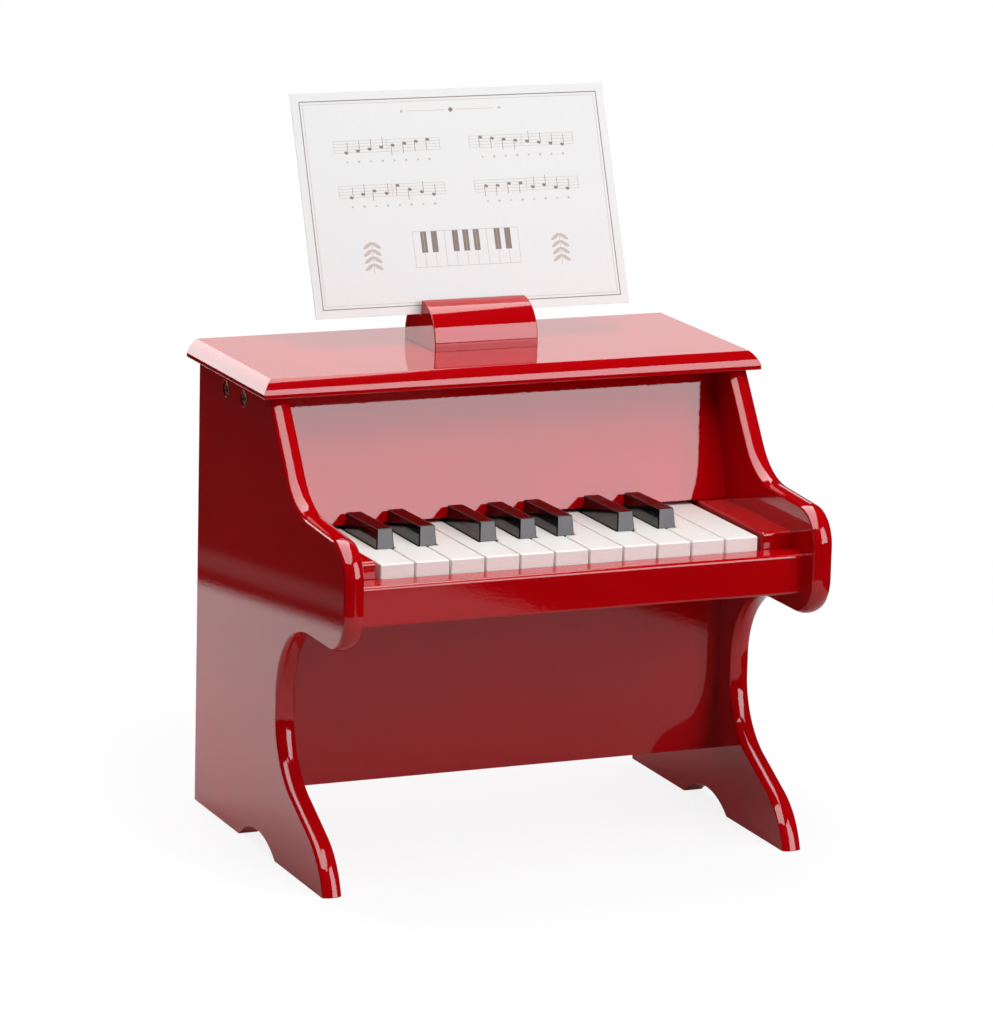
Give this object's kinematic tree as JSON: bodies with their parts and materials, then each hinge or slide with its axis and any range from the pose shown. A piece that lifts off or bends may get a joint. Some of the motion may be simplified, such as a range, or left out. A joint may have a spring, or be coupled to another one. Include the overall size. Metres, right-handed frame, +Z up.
{
  "type": "toy piano",
  "caption": "Small upright toy piano in glossy red: scooped side panels with curved legs, moulded lid, sprung keys that throw hammers at tone bars, and a block that holds a music card.",
  "frame": {"origin": "on the floor, under the middle of the width and of the depth of the whole piano", "axes": "+X to the right seen from the keyboard's side, +Y to the back, +Z up"},
  "size_m": [0.3074, 0.2388, 0.4169],
  "materials": {
    "red_lacquer": "gloss",
    "plain_wood": "matte",
    "white_key_paint": "satin",
    "black_key_paint": "gloss",
    "printed_card": "matte",
    "hammer_plastic": "matte",
    "tone_bar_metal": "satin",
    "steel_rod": "satin",
    "felt": "matte",
    "bronzed_screw": "satin",
    "zinc_screw": "satin"
  },
  "bodies": {
    "case": {"left_side_panel": "red_lacquer", "right_side_panel": "red_lacquer", "top_lid": "red_lacquer", "front_panel": "red_lacquer", "lower_panel": "red_lacquer", "key_slip": "red_lacquer", "left_cheek_block": "red_lacquer", "right_cheek_block": "red_lacquer", "card_holder": "red_lacquer", "top_rail": "plain_wood", "keybed": "red_lacquer", "back_panel": "plain_wood", "key_rest_rail": "plain_wood", "upper_bar_rail": "plain_wood", "lower_bar_rail": "plain_wood", "side_screws": "bronzed_screw", "back_panel_screws": "zinc_screw", "key_pivot_rod": "steel_rod", "hammer_pivot_rod": "steel_rod", "tone_bar_pins": "steel_rod", "key_felts": "felt", "bar_felts": "felt", "tone_bars": "tone_bar_metal"},
    "music_card": {"music_card": "printed_card"},
    "white_key_01": {"white_key_01": "white_key_paint"},
    "white_key_02": {"white_key_02": "white_key_paint"},
    "white_key_03": {"white_key_03": "white_key_paint"},
    "white_key_04": {"white_key_04": "white_key_paint"},
    "white_key_05": {"white_key_05": "white_key_paint"},
    "white_key_06": {"white_key_06": "white_key_paint"},
    "white_key_07": {"white_key_07": "white_key_paint"},
    "white_key_08": {"white_key_08": "white_key_paint"},
    "white_key_09": {"white_key_09": "white_key_paint"},
    "white_key_10": {"white_key_10": "white_key_paint"},
    "white_key_11": {"white_key_11": "white_key_paint"},
    "black_key_01": {"black_key_01": "black_key_paint"},
    "black_key_02": {"black_key_02": "black_key_paint"},
    "black_key_03": {"black_key_03": "black_key_paint"},
    "black_key_04": {"black_key_04": "black_key_paint"},
    "black_key_05": {"black_key_05": "black_key_paint"},
    "black_key_06": {"black_key_06": "black_key_paint"},
    "black_key_07": {"black_key_07": "black_key_paint"},
    "hammer_01": {"hammer_01": "hammer_plastic"},
    "hammer_02": {"hammer_02": "hammer_plastic"},
    "hammer_03": {"hammer_03": "hammer_plastic"},
    "hammer_04": {"hammer_04": "hammer_plastic"},
    "hammer_05": {"hammer_05": "hammer_plastic"},
    "hammer_06": {"hammer_06": "hammer_plastic"},
    "hammer_07": {"hammer_07": "hammer_plastic"},
    "hammer_08": {"hammer_08": "hammer_plastic"},
    "hammer_09": {"hammer_09": "hammer_plastic"},
    "hammer_10": {"hammer_10": "hammer_plastic"},
    "hammer_11": {"hammer_11": "hammer_plastic"},
    "hammer_12": {"hammer_12": "hammer_plastic"},
    "hammer_13": {"hammer_13": "hammer_plastic"},
    "hammer_14": {"hammer_14": "hammer_plastic"},
    "hammer_15": {"hammer_15": "hammer_plastic"},
    "hammer_16": {"hammer_16": "hammer_plastic"},
    "hammer_17": {"hammer_17": "hammer_plastic"},
    "hammer_18": {"hammer_18": "hammer_plastic"}
  },
  "joints": [
    {"name": "card_lift", "type": "slide", "parent": "case", "child": "music_card", "axis": [0, 0.3633, 0.9317], "range_m": [0, 0.03]},
    {"name": "white_key_01_press", "type": "hinge", "parent": "case", "child": "white_key_01", "pos_m": [0, 0.02151, 0.1785], "axis": [1, 0, 0], "range_deg": [0, 3.1], "stiffness_Nm_per_rad": 0.06, "springref_deg": -18.91},
    {"name": "hammer_01_swing", "type": "hinge", "parent": "case", "child": "hammer_01", "pos_m": [0, 0.07151, 0.194], "axis": [1, 0, 0], "range_deg": [-12.5, 0]},
    {"name": "black_key_01_press", "type": "hinge", "parent": "case", "child": "black_key_01", "pos_m": [0, 0.02151, 0.1785], "axis": [1, 0, 0], "range_deg": [0, 3.1], "stiffness_Nm_per_rad": 0.06, "springref_deg": -18.91},
    {"name": "hammer_02_swing", "type": "hinge", "parent": "case", "child": "hammer_02", "pos_m": [0, 0.07151, 0.194], "axis": [1, 0, 0], "range_deg": [-12.5, 0]},
    {"name": "white_key_02_press", "type": "hinge", "parent": "case", "child": "white_key_02", "pos_m": [0, 0.02151, 0.1785], "axis": [1, 0, 0], "range_deg": [0, 3.1], "stiffness_Nm_per_rad": 0.06, "springref_deg": -18.91},
    {"name": "hammer_03_swing", "type": "hinge", "parent": "case", "child": "hammer_03", "pos_m": [0, 0.07151, 0.194], "axis": [1, 0, 0], "range_deg": [-12.5, 0]},
    {"name": "black_key_02_press", "type": "hinge", "parent": "case", "child": "black_key_02", "pos_m": [0, 0.02151, 0.1785], "axis": [1, 0, 0], "range_deg": [0, 3.1], "stiffness_Nm_per_rad": 0.06, "springref_deg": -18.91},
    {"name": "hammer_04_swing", "type": "hinge", "parent": "case", "child": "hammer_04", "pos_m": [0, 0.07151, 0.194], "axis": [1, 0, 0], "range_deg": [-12.5, 0]},
    {"name": "white_key_03_press", "type": "hinge", "parent": "case", "child": "white_key_03", "pos_m": [0, 0.02151, 0.1785], "axis": [1, 0, 0], "range_deg": [0, 3.1], "stiffness_Nm_per_rad": 0.06, "springref_deg": -18.91},
    {"name": "hammer_05_swing", "type": "hinge", "parent": "case", "child": "hammer_05", "pos_m": [0, 0.07151, 0.194], "axis": [1, 0, 0], "range_deg": [-12.5, 0]},
    {"name": "white_key_04_press", "type": "hinge", "parent": "case", "child": "white_key_04", "pos_m": [0, 0.02151, 0.1785], "axis": [1, 0, 0], "range_deg": [0, 3.1], "stiffness_Nm_per_rad": 0.06, "springref_deg": -18.91},
    {"name": "hammer_06_swing", "type": "hinge", "parent": "case", "child": "hammer_06", "pos_m": [0, 0.07151, 0.194], "axis": [1, 0, 0], "range_deg": [-12.5, 0]},
    {"name": "black_key_03_press", "type": "hinge", "parent": "case", "child": "black_key_03", "pos_m": [0, 0.02151, 0.1785], "axis": [1, 0, 0], "range_deg": [0, 3.1], "stiffness_Nm_per_rad": 0.06, "springref_deg": -18.91},
    {"name": "hammer_07_swing", "type": "hinge", "parent": "case", "child": "hammer_07", "pos_m": [0, 0.07151, 0.194], "axis": [1, 0, 0], "range_deg": [-12.5, 0]},
    {"name": "white_key_05_press", "type": "hinge", "parent": "case", "child": "white_key_05", "pos_m": [0, 0.02151, 0.1785], "axis": [1, 0, 0], "range_deg": [0, 3.1], "stiffness_Nm_per_rad": 0.06, "springref_deg": -18.91},
    {"name": "hammer_08_swing", "type": "hinge", "parent": "case", "child": "hammer_08", "pos_m": [0, 0.07151, 0.194], "axis": [1, 0, 0], "range_deg": [-12.5, 0]},
    {"name": "black_key_04_press", "type": "hinge", "parent": "case", "child": "black_key_04", "pos_m": [0, 0.02151, 0.1785], "axis": [1, 0, 0], "range_deg": [0, 3.1], "stiffness_Nm_per_rad": 0.06, "springref_deg": -18.91},
    {"name": "hammer_09_swing", "type": "hinge", "parent": "case", "child": "hammer_09", "pos_m": [0, 0.07151, 0.194], "axis": [1, 0, 0], "range_deg": [-12.5, 0]},
    {"name": "white_key_06_press", "type": "hinge", "parent": "case", "child": "white_key_06", "pos_m": [0, 0.02151, 0.1785], "axis": [1, 0, 0], "range_deg": [0, 3.1], "stiffness_Nm_per_rad": 0.06, "springref_deg": -18.91},
    {"name": "hammer_10_swing", "type": "hinge", "parent": "case", "child": "hammer_10", "pos_m": [0, 0.07151, 0.194], "axis": [1, 0, 0], "range_deg": [-12.5, 0]},
    {"name": "black_key_05_press", "type": "hinge", "parent": "case", "child": "black_key_05", "pos_m": [0, 0.02151, 0.1785], "axis": [1, 0, 0], "range_deg": [0, 3.1], "stiffness_Nm_per_rad": 0.06, "springref_deg": -18.91},
    {"name": "hammer_11_swing", "type": "hinge", "parent": "case", "child": "hammer_11", "pos_m": [0, 0.07151, 0.194], "axis": [1, 0, 0], "range_deg": [-12.5, 0]},
    {"name": "white_key_07_press", "type": "hinge", "parent": "case", "child": "white_key_07", "pos_m": [0, 0.02151, 0.1785], "axis": [1, 0, 0], "range_deg": [0, 3.1], "stiffness_Nm_per_rad": 0.06, "springref_deg": -18.91},
    {"name": "hammer_12_swing", "type": "hinge", "parent": "case", "child": "hammer_12", "pos_m": [0, 0.07151, 0.194], "axis": [1, 0, 0], "range_deg": [-12.5, 0]},
    {"name": "white_key_08_press", "type": "hinge", "parent": "case", "child": "white_key_08", "pos_m": [0, 0.02151, 0.1785], "axis": [1, 0, 0], "range_deg": [0, 3.1], "stiffness_Nm_per_rad": 0.06, "springref_deg": -18.91},
    {"name": "hammer_13_swing", "type": "hinge", "parent": "case", "child": "hammer_13", "pos_m": [0, 0.07151, 0.194], "axis": [1, 0, 0], "range_deg": [-12.5, 0]},
    {"name": "black_key_06_press", "type": "hinge", "parent": "case", "child": "black_key_06", "pos_m": [0, 0.02151, 0.1785], "axis": [1, 0, 0], "range_deg": [0, 3.1], "stiffness_Nm_per_rad": 0.06, "springref_deg": -18.91},
    {"name": "hammer_14_swing", "type": "hinge", "parent": "case", "child": "hammer_14", "pos_m": [0, 0.07151, 0.194], "axis": [1, 0, 0], "range_deg": [-12.5, 0]},
    {"name": "white_key_09_press", "type": "hinge", "parent": "case", "child": "white_key_09", "pos_m": [0, 0.02151, 0.1785], "axis": [1, 0, 0], "range_deg": [0, 3.1], "stiffness_Nm_per_rad": 0.06, "springref_deg": -18.91},
    {"name": "hammer_15_swing", "type": "hinge", "parent": "case", "child": "hammer_15", "pos_m": [0, 0.07151, 0.194], "axis": [1, 0, 0], "range_deg": [-12.5, 0]},
    {"name": "black_key_07_press", "type": "hinge", "parent": "case", "child": "black_key_07", "pos_m": [0, 0.02151, 0.1785], "axis": [1, 0, 0], "range_deg": [0, 3.1], "stiffness_Nm_per_rad": 0.06, "springref_deg": -18.91},
    {"name": "hammer_16_swing", "type": "hinge", "parent": "case", "child": "hammer_16", "pos_m": [0, 0.07151, 0.194], "axis": [1, 0, 0], "range_deg": [-12.5, 0]},
    {"name": "white_key_10_press", "type": "hinge", "parent": "case", "child": "white_key_10", "pos_m": [0, 0.02151, 0.1785], "axis": [1, 0, 0], "range_deg": [0, 3.1], "stiffness_Nm_per_rad": 0.06, "springref_deg": -18.91},
    {"name": "hammer_17_swing", "type": "hinge", "parent": "case", "child": "hammer_17", "pos_m": [0, 0.07151, 0.194], "axis": [1, 0, 0], "range_deg": [-12.5, 0]},
    {"name": "white_key_11_press", "type": "hinge", "parent": "case", "child": "white_key_11", "pos_m": [0, 0.02151, 0.1785], "axis": [1, 0, 0], "range_deg": [0, 3.1], "stiffness_Nm_per_rad": 0.06, "springref_deg": -18.91},
    {"name": "hammer_18_swing", "type": "hinge", "parent": "case", "child": "hammer_18", "pos_m": [0, 0.07151, 0.194], "axis": [1, 0, 0], "range_deg": [-12.5, 0]}
  ],
  "couplings": [
    {"joint": "hammer_01_swing", "follows": "white_key_01_press", "ratio": -4},
    {"joint": "hammer_02_swing", "follows": "black_key_01_press", "ratio": -4},
    {"joint": "hammer_03_swing", "follows": "white_key_02_press", "ratio": -4},
    {"joint": "hammer_04_swing", "follows": "black_key_02_press", "ratio": -4},
    {"joint": "hammer_05_swing", "follows": "white_key_03_press", "ratio": -4},
    {"joint": "hammer_06_swing", "follows": "white_key_04_press", "ratio": -4},
    {"joint": "hammer_07_swing", "follows": "black_key_03_press", "ratio": -4},
    {"joint": "hammer_08_swing", "follows": "white_key_05_press", "ratio": -4},
    {"joint": "hammer_09_swing", "follows": "black_key_04_press", "ratio": -4},
    {"joint": "hammer_10_swing", "follows": "white_key_06_press", "ratio": -4},
    {"joint": "hammer_11_swing", "follows": "black_key_05_press", "ratio": -4},
    {"joint": "hammer_12_swing", "follows": "white_key_07_press", "ratio": -4},
    {"joint": "hammer_13_swing", "follows": "white_key_08_press", "ratio": -4},
    {"joint": "hammer_14_swing", "follows": "black_key_06_press", "ratio": -4},
    {"joint": "hammer_15_swing", "follows": "white_key_09_press", "ratio": -4},
    {"joint": "hammer_16_swing", "follows": "black_key_07_press", "ratio": -4},
    {"joint": "hammer_17_swing", "follows": "white_key_10_press", "ratio": -4},
    {"joint": "hammer_18_swing", "follows": "white_key_11_press", "ratio": -4}
  ]
}
